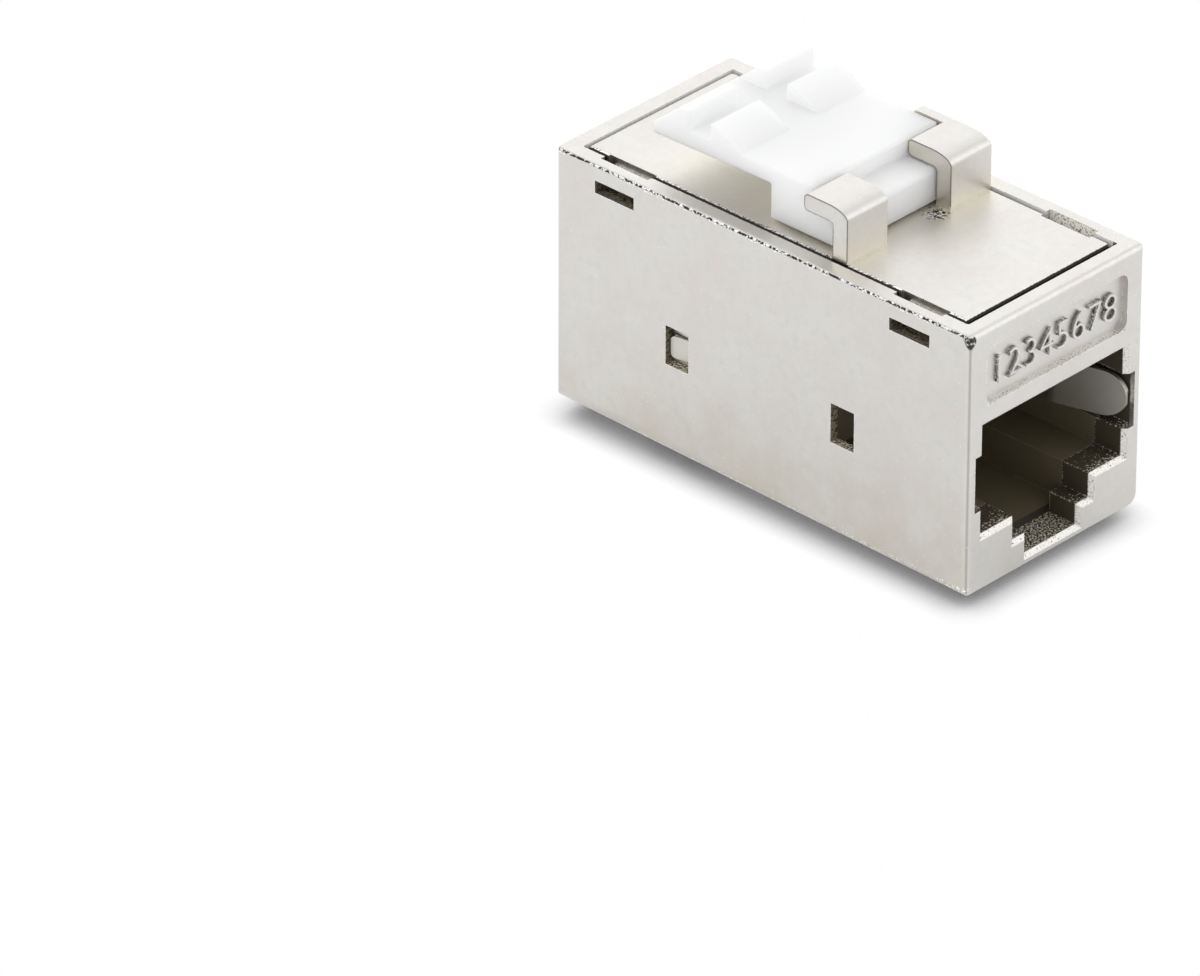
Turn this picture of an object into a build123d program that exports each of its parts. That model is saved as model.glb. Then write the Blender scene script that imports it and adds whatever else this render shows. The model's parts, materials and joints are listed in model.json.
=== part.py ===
from build123d import *
import os

os.makedirs("parts", exist_ok=True)

# Port mouth, the stepped shape that takes the plug and its tab. Heights count from the body's underside.
port_width = 11.8
port_bottom = 3.5
port_top = 10.45
step_width = 6.4
step_level = 1.95
tab_width = 4.3
mouth_chamfer = 0.27
spring_slot_bottom = 5.2
spring_slot_top = 8.75
spring_slot_wall = 0.6
spring_channel_end = 11.6

# Body of the coupler. X is across it, Y runs from one port to the other, Z is up.
# The rear port opens towards -Y, the front port towards +Y. The port and what is round it set the section.
port_side = 1.35
head_height = 6.2
body_length = 31.3
side_wall = 1.05
end_wall = 2.2
floor_thickness = 0.65
edge_radius = 0.4
crown_radius = 0.18
rear_crown_radius = 0.45
end_edge_radius = 0.25
corner_radius_small = 0.4
corner_radius_large = 1.3
tool_margin = 0.1

# Bare sunken field above each port.
field_width = 11.7
field_lift = 1.35
field_drop = 1.25
field_depth = 0.4
field_radius = 0.6

# Side openings, measured from the nearer end face.
lug_slot_start = 3.03
lug_slot_length = 2.98
lug_slot_drop = 1.03
lug_slot_height = 0.79
window_start = 8.5
window_length = 1.76
window_bottom = 5.93
window_height = 2.5

# Cover that drops into the open top.
cover_thickness = 1.1
cover_drop = 0.08
cover_gap = 0.2
cover_rear_gap = 0.36
cover_front_gap = 0.12
cover_corner = 0.3
opening_corner = 0.12
cover_chamfer = 0.1
end_rim = 1.12
lug_pocket_depth = 0.33
lug_pocket_foot = 0.1
lug_pocket_start = 2.8
lug_pocket_length = 3.6
lug_notch_depth = 0.3
lug_clearance = 0.07
lug_bite = 0.42
lug_thickness = 0.55
lug_top_drop = 0.45
lug_side_gap = 0.15

# Ears on the cover that hold the latch, bent like hooks. Heights count from the cover's top.
ear_start = 10.35
ear_post = 1.1
ear_reach = 3.25
ear_height = 3.42
hook_thickness = 1.05
ear_bend_length = 1.5
ear_bend_drop = 0.62
ear_fold = 0.25
hook_tip = 0.3
ear_sink = 0.3
ear_outer = 5.95
open_ear_width = 3.3
closed_ear_width = 3.35
side_plate_thickness = 0.65
side_plate_length = 5.3

# Moulded latch.
latch_half_width = 5.15
latch_clearance = 0.06
foot_lift = 0.2
foot_end = 16.88
foot_rounding = 0.3
arm_underside = 2.4
latch_tip = 25.9
tip_thickness = 0.65
tip_droop = 0.2
front_ridge_height = 1.18
rear_ridge_height = 1.06
ridge_ramp = 2.5
ramp_bulge = 0.6
ramp_radius = 2.0
ridge_crest = 0.8
panel_gap = 1.5
panel_line = 21.5
ridge_gap = 2.4
ridge_gap_length = 7.0
key_width = 0.9
key_length = 7.8
key_offset = 0.6
key_height = 0.8
key_distance = 1.0
latch_rounding = 0.13
latch_chamfer = 0.1

# Fixed catch under the body, the partner of the latch.
catch_height = 0.9
catch_thickness = 1.1
catch_width = 10.0

# Circuit board and the moulded port inserts.
board_thickness = 1.2
board_side_gap = 0.15
board_end_gap = 0.1
board_top_gap = 0.2
board_clearance = 0.02
board_corner = 0.3
pin_hole = 0.62
fit_gap = 0.05
insert_top_gap = 0.1
port_depth = 12.5
tab_channel_end = 11.2
insert_floor = 0.5
solder_pocket = 0.5
solder_margin = 0.6
solder_length = 0.35

# Contacts. The two rows stand above the port's ceiling.
contact_count = 8
contact_pitch = 1.016
contact_width = 0.4
contact_thickness = 0.3
contact_groove = 0.6
contact_bend = 6.6
contact_tip = 13.0
contact_tip_height = 8.0
contact_radius = 0.35
contact_hang = 0.35
contact_swing = 1.0
groove_room = 0.4
lower_row_lift = 1.45
row_step = 1.3
comb_depth = 1.1

# Ground springs. Each is held by a lance that stands out into the window beside it.
spring_thickness = 0.25
spring_root = 8.2
spring_crest = 5.1
spring_flat = 0.5
spring_end = 0.3
spring_bow = 1.35
spring_bend = 0.9
spring_clearance = 0.35
spring_back_gap = 0.03
spring_tip_gap = 0.1
lance_height = 1.4
lance_rise = 0.3
lance_slit = 0.12
lance_gap = 0.1
lance_radius = 0.3

body_width = port_width + 2 * port_side
body_height = port_top + head_height
base = catch_height
top = base + body_height
half_width = body_width / 2
half_length = body_length / 2
inner_half = half_width - side_wall
cover_top = top - cover_drop
seat = cover_top - cover_thickness
well_end = half_length - end_wall
rear = -half_length
field_bottom = port_top + field_lift
field_top = body_height - field_drop
lug_slot_top = top - lug_slot_drop
lug_slot_bottom = lug_slot_top - lug_slot_height
pocket_foot = inner_half + lug_pocket_foot


def contact_place(number):
    """Return the sideways place of one contact, counted from 1."""
    return (number - (contact_count + 1) / 2) * contact_pitch


def contact_row(number):
    """Return the height at which one contact enters the board."""
    lower_row = base + port_top + lower_row_lift
    if number % 2 == 1:
        return lower_row
    return lower_row + row_step


def upright_rectangle(width, low, high):
    """Add a centred rectangle between two heights above the body's underside."""
    with Locations((0, base + (low + high) / 2)):
        Rectangle(width, high - low)


# Tool for the corner that grows rounder along the underside.
rear_corner = (rear - tool_margin, corner_radius_small)
front_corner = (half_length + tool_margin, corner_radius_large)
with BuildPart() as corner_cut:
    for end, radius in (rear_corner, front_corner):
        with BuildSketch(Plane.XZ.offset(-end)):
            with BuildLine():
                Line((-half_width, base + radius), (-half_width - 1, base + radius))
                Line((-half_width - 1, base + radius), (-half_width - 1, base - 1))
                Line((-half_width - 1, base - 1), (-half_width + radius, base - 1))
                Line((-half_width + radius, base - 1), (-half_width + radius, base))
                CenterArc((-half_width + radius, base + radius), radius, 180, 90)
            make_face()
    loft()

# Tool for the stepped mouth in one end wall.
with BuildPart() as mouth_cut:
    with BuildSketch(Plane.XZ.offset(half_length + tool_margin)):
        upright_rectangle(port_width, port_bottom, port_top)
        upright_rectangle(step_width, step_level, port_bottom + tool_margin)
        upright_rectangle(tab_width, floor_thickness, step_level + tool_margin)
    extrude(amount=-end_wall - 2 * tool_margin)

# Tool for the channel that the ground spring lies in, open at the end face, and for the bare field above.
channel_half = half_width - spring_slot_wall
with BuildPart() as face_cut:
    with BuildSketch(Plane.XZ.offset(half_length + tool_margin)):
        upright_rectangle(2 * channel_half, spring_slot_bottom, spring_slot_top)
    extrude(amount=-spring_channel_end - tool_margin)
    with BuildSketch(Plane.XZ.offset(half_length)):
        with Locations((0, base + (field_bottom + field_top) / 2)):
            RectangleRounded(field_width, field_top - field_bottom, field_radius)
    extrude(amount=-field_depth)

lug_slot_place = half_length - lug_slot_start - lug_slot_length / 2
window_place = half_length - window_start - window_length / 2
lug_pocket_place = half_length - lug_pocket_start - lug_pocket_length / 2
panel_place = rear + panel_line
panel_front = panel_place + panel_gap

with BuildPart() as housing:
    with BuildSketch(Plane.XY.offset(base)):
        Rectangle(body_width, body_length)
    extrude(amount=body_height)
    fillet(housing.edges().filter_by(Axis.Z), radius=edge_radius)
    with BuildSketch(Plane.YZ.offset(-half_width - tool_margin)):
        with BuildLine():
            Line((rear - tool_margin, top - rear_crown_radius), (rear, top - rear_crown_radius))
            CenterArc((rear + rear_crown_radius, top - rear_crown_radius), rear_crown_radius, 90, 90)
            Line((rear + rear_crown_radius, top), (rear + rear_crown_radius, top + tool_margin))
            Line((rear + rear_crown_radius, top + tool_margin), (rear - tool_margin, top + tool_margin))
            Line((rear - tool_margin, top + tool_margin), (rear - tool_margin, top - rear_crown_radius))
        make_face()
    extrude(amount=body_width + 2 * tool_margin, mode=Mode.SUBTRACT)
    crown_edges = housing.faces().sort_by(Axis.Z)[-1].edges().sort_by(Axis.Y)[1:]
    fillet(crown_edges, radius=crown_radius)
    fillet(housing.faces().sort_by(Axis.Z)[0].edges(), radius=end_edge_radius)
    with PolarLocations(0, 2):
        add(corner_cut.part, mode=Mode.SUBTRACT)
    with BuildSketch(Plane.XY.offset(base + floor_thickness)):
        Rectangle(2 * inner_half, 2 * well_end)
    extrude(amount=body_height, mode=Mode.SUBTRACT)
    with BuildSketch(Plane.XY.offset(seat)):
        RectangleRounded(2 * inner_half, body_length - 2 * end_rim, opening_corner)
    extrude(amount=body_height, mode=Mode.SUBTRACT)
    with PolarLocations(0, 2):
        add(mouth_cut.part, mode=Mode.SUBTRACT)
    mouth_edges = []
    for face in (housing.faces().sort_by(Axis.Y)[0], housing.faces().sort_by(Axis.Y)[-1]):
        for wire in face.inner_wires():
            mouth_edges += wire.edges()
    chamfer(mouth_edges, length=mouth_chamfer)
    with PolarLocations(0, 2):
        add(face_cut.part, mode=Mode.SUBTRACT)
    with BuildSketch(Plane.YZ):
        with Locations((-lug_slot_place, lug_slot_bottom + lug_slot_height / 2)):
            Rectangle(lug_slot_length, lug_slot_height)
        with Locations((lug_slot_place, lug_slot_bottom + lug_slot_height / 2)):
            Rectangle(lug_slot_length, lug_slot_height)
        with Locations((-window_place, base + window_bottom + window_height / 2)):
            Rectangle(window_length, window_height)
        with Locations((window_place, base + window_bottom + window_height / 2)):
            Rectangle(window_length, window_height)
    extrude(amount=body_width, both=True, mode=Mode.SUBTRACT)
    for place in (-lug_pocket_place, lug_pocket_place):
        with BuildSketch(Plane.XZ.offset(-place + lug_pocket_length / 2)):
            with BuildLine():
                Polyline(
                    (pocket_foot, lug_slot_bottom),
                    (pocket_foot, lug_slot_top),
                    (inner_half + lug_pocket_depth, top),
                    (inner_half + lug_pocket_depth, top + tool_margin),
                    (-inner_half - lug_pocket_depth, top + tool_margin),
                    (-inner_half - lug_pocket_depth, top),
                    (-pocket_foot, lug_slot_top),
                    (-pocket_foot, lug_slot_bottom),
                    close=True,
                )
            make_face()
        extrude(amount=-lug_pocket_length, mode=Mode.SUBTRACT)
    with BuildSketch(Plane.YZ.offset(-catch_width / 2)):
        with BuildLine():
            Polyline(
                (panel_front, base + tool_margin),
                (panel_front, 0),
                (panel_front + catch_thickness / 2, 0),
                (panel_front + catch_thickness, base / 2),
                (panel_front + catch_thickness, base + tool_margin),
                close=True,
            )
        make_face()
        with BuildLine():
            Polyline(
                (panel_place, base + tool_margin),
                (panel_place, 0),
                (panel_place - catch_thickness, 0),
                (panel_place - catch_thickness, base + tool_margin),
                close=True,
            )
        make_face()
    extrude(amount=catch_width)
housing.part.label = "housing"

# The cover's lugs hang in the pockets and bite into the slots.
lug_top = cover_top - lug_top_drop
lug_bottom = lug_slot_bottom + lug_clearance
lug_ceiling = lug_slot_top - lug_clearance
lug_face = pocket_foot - lug_clearance
lug_length = lug_slot_length - 2 * lug_side_gap
cover_half = inner_half - cover_gap
cover_length = body_length - 2 * end_rim - cover_rear_gap - cover_front_gap
cover_place = (cover_rear_gap - cover_front_gap) / 2
lug_root = cover_half - lug_thickness
ear_front = rear + ear_start
post_face = ear_front + ear_post
hook_end = ear_front + ear_reach
ear_foot = cover_top - ear_sink
ear_top = cover_top + ear_height
bend_centre = (ear_front + ear_bend_length, ear_top - ear_bend_drop)
hook_under = ear_top - hook_thickness

with BuildPart() as top_cover:
    with BuildSketch(Plane.XY.offset(seat)):
        with Locations((0, cover_place)):
            RectangleRounded(2 * cover_half, cover_length, cover_corner)
    extrude(amount=cover_thickness)
    chamfer(top_cover.faces().sort_by(Axis.Z)[-1].edges(), length=cover_chamfer)
    for side in (-1, 1):
        with BuildSketch(Plane.XY.offset(seat)):
            with Locations((side * cover_half, -lug_pocket_place), (side * cover_half, lug_pocket_place)):
                Rectangle(2 * lug_notch_depth, lug_pocket_length)
        extrude(amount=cover_thickness, mode=Mode.SUBTRACT)
        for place in (-lug_slot_place, lug_slot_place):
            with BuildSketch(Plane.XZ.offset(-place + lug_length / 2)):
                with BuildLine():
                    Polyline(
                        (side * lug_root, lug_top),
                        (side * lug_face, lug_top),
                        (side * lug_face, lug_ceiling),
                        (side * (lug_face + lug_bite), lug_ceiling),
                        (side * (lug_face + lug_bite), lug_ceiling - lug_bite),
                        (side * lug_face, lug_bottom),
                        (side * lug_root, lug_bottom),
                        close=True,
                    )
                make_face()
            extrude(amount=-lug_length)
    for low, width in ((-ear_outer, open_ear_width), (ear_outer - closed_ear_width, closed_ear_width)):
        with BuildSketch(Plane.YZ.offset(low)):
            with BuildLine():
                Line((ear_front, ear_foot), (ear_front, bend_centre[1]))
                EllipticalCenterArc(bend_centre, ear_bend_length, ear_bend_drop, start_angle=90, arc_size=90)
                FilletPolyline(
                    (bend_centre[0], ear_top),
                    (hook_end, ear_top),
                    (hook_end, hook_under),
                    (post_face, hook_under),
                    (post_face, ear_foot),
                    radius=(hook_tip, hook_tip, ear_fold),
                )
                Line((post_face, ear_foot), (ear_front, ear_foot))
            make_face()
        extrude(amount=width)
    with BuildSketch(Plane.YZ.offset(ear_outer - side_plate_thickness)):
        with BuildLine():
            Line((ear_front, ear_foot), (ear_front, bend_centre[1]))
            EllipticalCenterArc(bend_centre, ear_bend_length, ear_bend_drop, start_angle=90, arc_size=90)
            FilletPolyline(
                (bend_centre[0], ear_top),
                (ear_front + side_plate_length, ear_top),
                (ear_front + side_plate_length, ear_foot),
                radius=hook_tip,
            )
            Line((ear_front + side_plate_length, ear_foot), (ear_front, ear_foot))
        make_face()
    extrude(amount=side_plate_thickness)
    with BuildSketch(Plane.XY.offset(ear_foot)):
        with Locations((key_offset, hook_end + key_distance)):
            Rectangle(key_length, key_width)
    extrude(amount=key_height + ear_sink)
top_cover.part.label = "top_cover"

foot_low = cover_top + foot_lift
foot_front = post_face + latch_clearance
foot_back = rear + foot_end
bar_top = hook_under - latch_clearance
arm_front = hook_end + latch_clearance
arm_low = cover_top + arm_underside
ramp_start = panel_place - ridge_ramp
tip = rear + latch_tip

latch_corners = [
    (ramp_start, ear_top),
    (arm_front, ear_top),
    (arm_front, bar_top),
    (foot_front, bar_top),
    (foot_front, foot_low),
    (foot_back, foot_low),
    (foot_back, arm_low),
    (tip, arm_low - tip_droop),
    (tip, arm_low - tip_droop + tip_thickness),
    (panel_front + ridge_crest, ear_top + front_ridge_height),
    (panel_front, ear_top + front_ridge_height),
    (panel_front, ear_top),
    (panel_place, ear_top),
    (panel_place, ear_top + rear_ridge_height),
    (panel_place - ridge_ramp / 2, ear_top + ramp_bulge * rear_ridge_height),
]

latch_radii = [latch_rounding] * len(latch_corners)
latch_radii[latch_corners.index((foot_front, bar_top))] = foot_rounding
latch_radii[-1] = ramp_radius

with BuildPart() as keystone_latch:
    with BuildSketch(Plane.YZ.offset(-latch_half_width)):
        with BuildLine():
            FilletPolyline(
                *latch_corners,
                radius=latch_radii,
                close=True,
            )
        make_face()
    extrude(amount=2 * latch_half_width)
    chamfer(keystone_latch.faces().filter_by(Axis.X).edges(), length=latch_chamfer)
    with BuildSketch(Plane.XY.offset(ear_top)):
        with Locations((0, (panel_place + panel_front) / 2)):
            Rectangle(ridge_gap, ridge_gap_length)
    extrude(amount=front_ridge_height + tool_margin, mode=Mode.SUBTRACT)
    key_cut_start = key_offset - key_length / 2 - tool_margin
    with BuildSketch(Plane.XY.offset(cover_top)):
        with Locations(((key_cut_start + half_width) / 2, hook_end + key_distance)):
            Rectangle(half_width - key_cut_start, key_width + 2 * latch_clearance)
    extrude(amount=key_height + latch_clearance, mode=Mode.SUBTRACT)
keystone_latch.part.label = "keystone_latch"

board_half = board_thickness / 2
board_low = base + floor_thickness + board_end_gap
board_high = seat - board_top_gap

with BuildPart() as circuit_board:
    with BuildSketch(Plane.XZ.offset(-board_half)):
        with Locations((0, (board_low + board_high) / 2)):
            RectangleRounded(2 * (inner_half - board_side_gap), board_high - board_low, board_corner)
        for number in range(1, contact_count + 1):
            place = contact_place(number)
            with Locations((place, contact_row(number)), (-place, contact_row(number))):
                Circle(pin_hole / 2, mode=Mode.SUBTRACT)
    extrude(amount=board_thickness)
circuit_board.part.label = "circuit_board"

insert_front = well_end - fit_gap
insert_back = board_half + board_clearance
insert_low = base + floor_thickness
insert_high = seat - insert_top_gap
cavity_back = half_length - port_depth
channel_back = half_length - tab_channel_end
lower_row = contact_row(1)
upper_row = contact_row(2)
spring_low = base + spring_slot_bottom + spring_clearance
spring_high = base + spring_slot_top - spring_clearance
lug_room = inner_half - lug_root + lug_clearance
bend = rear + contact_bend

# Rear insert. The front one is the same moulding turned round.
with BuildPart() as insert_mould:
    with BuildSketch(Plane.XZ.offset(insert_front)):
        with Locations((0, (insert_low + insert_high) / 2)):
            Rectangle(2 * (inner_half - fit_gap), insert_high - insert_low)
    extrude(amount=insert_back - insert_front)
    with BuildSketch(Plane.XZ.offset(insert_front)):
        upright_rectangle(port_width, port_bottom, port_top)
        upright_rectangle(2 * half_width, spring_slot_bottom, spring_slot_top)
    extrude(amount=cavity_back - insert_front, mode=Mode.SUBTRACT)
    with BuildSketch(Plane.XZ.offset(insert_front)):
        upright_rectangle(step_width, floor_thickness + insert_floor, port_bottom + tool_margin)
    extrude(amount=channel_back - insert_front, mode=Mode.SUBTRACT)
    with BuildSketch(Plane.XZ.offset(insert_back)):
        with Locations((0, (lower_row + upper_row) / 2)):
            pocket_height = upper_row - lower_row + 2 * solder_margin
            Rectangle(contact_count * contact_pitch + solder_margin, pocket_height)
    extrude(amount=solder_pocket, mode=Mode.SUBTRACT)
    with BuildSketch(Plane.XY.offset(lug_bottom - lug_clearance)):
        with Locations((-inner_half, -lug_slot_place), (inner_half, -lug_slot_place)):
            Rectangle(2 * lug_room, lug_slot_length)
    extrude(amount=body_height, mode=Mode.SUBTRACT)
    for number in range(1, contact_count + 1):
        groove_top = contact_row(number) + contact_thickness / 2 + fit_gap
        groove_low = contact_row(number) - contact_thickness / 2 - fit_gap
        with BuildSketch(Plane.YZ.offset(contact_place(number) - contact_groove / 2)):
            with BuildLine():
                Polyline(
                    (bend - groove_room, base + port_top - tool_margin),
                    (bend - groove_room, groove_top),
                    (-insert_back, groove_top),
                    (-insert_back, groove_low),
                    (comb_depth - cavity_back, groove_low),
                    (comb_depth - cavity_back, base + contact_tip_height - contact_swing),
                    (-cavity_back - tool_margin, base + contact_tip_height - contact_swing),
                    (-cavity_back - tool_margin, base + port_top - tool_margin),
                    close=True,
                )
            make_face()
        extrude(amount=contact_groove, mode=Mode.SUBTRACT)

rear_port_insert = insert_mould.part
rear_port_insert.label = "rear_port_insert"
front_port_insert = Rot(0, 0, 180) * insert_mould.part
front_port_insert.label = "front_port_insert"

spring_face = channel_half - spring_thickness - spring_back_gap
tip_face = channel_half - spring_thickness - spring_tip_gap
spring_mid = (spring_low + spring_high) / 2
spring_back = rear + spring_channel_end - spring_tip_gap
lance_root = rear + window_start + window_length
lance_tip = rear + window_start + lance_gap

# Rear spring on the +X side. Its tongue bows into the port and its end reaches into the slot of the end wall.
with BuildPart() as spring_strip:
    with BuildSketch(Plane.XY.offset(spring_low)):
        with BuildLine():
            FilletPolyline(
                (spring_face, spring_back),
                (spring_face, rear + spring_root),
                (spring_face - spring_bow, rear + spring_crest),
                (spring_face - spring_bow, rear + spring_crest - spring_flat),
                (tip_face, rear + spring_end),
                radius=spring_bend,
            )
            offset(amount=spring_thickness, side=Side.LEFT)
        make_face()
    extrude(amount=spring_high - spring_low)
    with BuildSketch(Plane.YZ):
        with Locations((spring_back, spring_mid)):
            SlotOverall(2 * (spring_back - rear - spring_end), spring_high - spring_low)
        with Locations(((lance_tip + lance_root) / 2 - lance_slit, spring_mid)):
            slit_length = lance_root - lance_tip + 2 * lance_slit
            Rectangle(slit_length, lance_height + 2 * lance_slit, mode=Mode.SUBTRACT)
    extrude(amount=half_width, mode=Mode.INTERSECT)
    with BuildSketch(Plane.XY.offset(spring_mid - lance_height / 2)):
        with BuildLine():
            Polyline(
                (spring_face, lance_root),
                (spring_face + lance_rise, lance_tip),
                (spring_face + lance_rise + spring_thickness, lance_tip),
                (spring_face + spring_thickness, lance_root),
                close=True,
            )
        make_face()
    extrude(amount=lance_height)
    lance_corners = spring_strip.edges().filter_by_position(Axis.Y, lance_tip, lance_tip).filter_by(Axis.X)
    fillet(lance_corners, radius=lance_radius)
rear_ground_spring = spring_strip.part
rear_ground_spring.label = "rear_ground_spring"
front_ground_spring = Rot(0, 0, 180) * spring_strip.part
front_ground_spring.label = "front_ground_spring"

contacts = []
for number in range(1, contact_count + 1):
    wire_low = contact_row(number) - contact_thickness / 2
    with BuildPart() as contact_wire:
        with BuildSketch(Plane.YZ.offset(contact_place(number) - contact_width / 2)):
            with BuildLine():
                FilletPolyline(
                    (board_half + solder_length, wire_low),
                    (bend, wire_low),
                    (bend, base + port_top - contact_hang),
                    (rear + contact_tip, base + contact_tip_height),
                    radius=contact_radius,
                )
                offset(amount=contact_thickness, side=Side.RIGHT)
            make_face()
        extrude(amount=contact_width)
    rear_contact = contact_wire.part
    rear_contact.label = f"rear_contact_{number}"
    front_contact = Rot(0, 0, 180) * contact_wire.part
    front_contact.label = f"front_contact_{number}"
    contacts.append(rear_contact)
    contacts.append(front_contact)

pieces = [
    housing.part,
    top_cover.part,
    keystone_latch.part,
    rear_port_insert,
    front_port_insert,
    circuit_board.part,
    rear_ground_spring,
    front_ground_spring,
]
for piece in pieces + contacts:
    export_step(piece, f"parts/{piece.label}.step")
    box = piece.bounding_box()
    print(piece.label, len(piece.solids()), box.min, box.max)
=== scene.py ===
import bpy
import json
import math
from mathutils import Matrix, Vector


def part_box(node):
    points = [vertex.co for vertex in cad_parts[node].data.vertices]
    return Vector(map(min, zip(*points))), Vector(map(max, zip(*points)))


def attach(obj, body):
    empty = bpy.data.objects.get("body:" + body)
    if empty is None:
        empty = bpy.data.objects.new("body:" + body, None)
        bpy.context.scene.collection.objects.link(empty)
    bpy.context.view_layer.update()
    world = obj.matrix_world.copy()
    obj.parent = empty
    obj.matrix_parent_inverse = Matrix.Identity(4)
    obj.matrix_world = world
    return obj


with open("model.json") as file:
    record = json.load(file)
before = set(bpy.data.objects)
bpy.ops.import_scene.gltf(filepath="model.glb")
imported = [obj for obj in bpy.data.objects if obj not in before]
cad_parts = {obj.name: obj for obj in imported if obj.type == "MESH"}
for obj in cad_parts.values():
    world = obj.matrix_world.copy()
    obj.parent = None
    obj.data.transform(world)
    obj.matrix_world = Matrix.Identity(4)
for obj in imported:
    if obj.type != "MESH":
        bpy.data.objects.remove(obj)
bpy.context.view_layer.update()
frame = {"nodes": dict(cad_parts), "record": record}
nodes = frame["nodes"]
mm = 0.001  # every size below is in millimetres
rays = {"samples": 4}  # how many rays find an edge or a hollow
smoothRays = {"samples": 6}  # the same where noise would show
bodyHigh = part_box("housing")[1] / mm
coverLow, coverHigh = (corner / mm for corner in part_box("top_cover"))
print("frame loaded,", len(nodes), "nodes")


def linear(hexColour):
    # sRGB hex to a linear colour with alpha
    parts = [int(hexColour[i:i + 2], 16) / 255 for i in (1, 3, 5)]
    return [c / 12.92 if c <= 0.04045 else ((c + 0.055) / 1.055) ** 2.4 for c in parts] + [1]


def addNode(tree, kind, settings=None, values=None, links=None):
    # adds one node with its settings, its fixed inputs and the sockets that feed it
    node = tree.nodes.new(kind)
    for name, value in (settings or {}).items():
        setattr(node, name, value)
    for name, value in (values or {}).items():
        node.inputs[name].default_value = value
    for name, source in (links or {}).items():
        tree.links.new(source, node.inputs[name])
    return node


def newMaterial(name, shaderValues):
    # returns the material's tree, its shader and its object coordinates
    material = bpy.data.materials.new(name)
    material.use_nodes = True
    tree = material.node_tree
    tree.nodes.clear()
    shader = addNode(tree, "ShaderNodeBsdfPrincipled", values=shaderValues)
    addNode(tree, "ShaderNodeOutputMaterial", links={"Surface": shader.outputs[0]})
    place = addNode(tree, "ShaderNodeTexCoord").outputs["Object"]
    return material, tree, shader, place


def patternScale(size):
    # a pattern's real length as the scale that a texture takes
    return 1 / (size * mm)


def ramp(tree, pattern, span, least=0.0, most=1.0):
    # turns a span of a pattern's values into least to most, and holds what lies outside it
    return addNode(tree, "ShaderNodeMapRange",
                   values={"From Min": span[0], "From Max": span[1], "To Min": least, "To Max": most},
                   links={"Value": pattern}).outputs[0]


def times(tree, *masks):
    # where all the masks meet
    product = masks[0]
    for mask in masks[1:]:
        product = addNode(tree, "ShaderNodeMath", {"operation": "MULTIPLY"},
                          links={0: product, 1: mask}).outputs[0]
    return product


def either(tree, *masks):
    # where any of the masks is, and the larger of two measures
    largest = masks[0]
    for mask in masks[1:]:
        largest = addNode(tree, "ShaderNodeMath", {"operation": "MAXIMUM"},
                          links={0: largest, 1: mask}).outputs[0]
    return largest


def above(tree, measure, low, fade=0.05):
    # 1 past a place in mm, 0 before it
    return ramp(tree, measure, (low * mm, (low + fade) * mm))


def below(tree, measure, high, fade=0.05):
    # 1 before a place in mm, 0 past it
    return ramp(tree, measure, ((high + fade) * mm, high * mm))


def within(tree, measure, low, high, blur=0.02):
    # 1 between two places in mm, 0 outside
    return times(tree, above(tree, measure, low - blur, 2 * blur),
                 below(tree, measure, high - blur, 2 * blur))


def layOver(tree, colour, rough, layers):
    # lays finishes over each other, lowest first: each is a mask, a colour, and a roughness or None
    for mask, hexColour, roughness in layers:
        colour = addNode(tree, "ShaderNodeMix", {"data_type": "RGBA"}, {"B": linear(hexColour)},
                         {"Factor": mask, "A": colour}).outputs["Result"]
        if roughness:
            rough = addNode(tree, "ShaderNodeMix", values={"B": roughness},
                            links={"Factor": mask, "A": rough}).outputs["Result"]
    return colour, rough


def bodyPlaces(tree, place):
    # where a point is on the body; aside and along measure from its middle, to all four corners alike
    apart = addNode(tree, "ShaderNodeSeparateXYZ", links={"Vector": place})
    mirrored = addNode(tree, "ShaderNodeVectorMath", {"operation": "ABSOLUTE"}, links={0: place})
    fromMiddle = addNode(tree, "ShaderNodeSeparateXYZ", links={"Vector": mirrored.outputs[0]})
    return {"place": place, "x": apart.outputs["X"], "y": apart.outputs["Y"], "z": apart.outputs["Z"],
            "aside": fromMiddle.outputs["X"], "along": fromMiddle.outputs["Y"]}


def inBlock(tree, at, aside, along, height):
    # 1 in a block that is the same at all four corners of the body; each span is in mm
    return times(tree, within(tree, at["aside"], *aside), within(tree, at["along"], *along),
                 within(tree, at["z"], *height))


# Places on the body that its wear and its painted shade and light follow, in mm, as the part's own source
# has them.
bodySizes = {
    "coverHalf": 6.0, "coverTop": 17.47, "innerHalf": 6.2, "baseFoot": 0.95,
    "endWall": 2.2, "mouthDepth": 0.3, "channelHalf": 6.65,
    "portTop": 11.4, "portFoot": 1.4, "tabFloor": 1.55,
    "fieldHalf": 5.85, "fieldFoot": 12.7, "fieldDepth": 0.4,
    "windowNear": 5.4, "windowFar": 7.15, "windowFoot": 6.83, "windowTop": 9.33,
    "pocketNear": 9.25, "pocketFar": 12.85, "pocketOutside": 6.58,
    "slotNear": 9.64, "slotFar": 12.62, "slotFoot": 15.73, "slotTop": 16.52, "slotOutside": 7.08,
    "nearEarSide": -5.95, "farEarSide": 2.6,
}
hair = 0.02  # how far a mask stops short of a face or goes past it
margin = 0.05  # the same where an edge is rounded or a limit is soft
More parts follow.
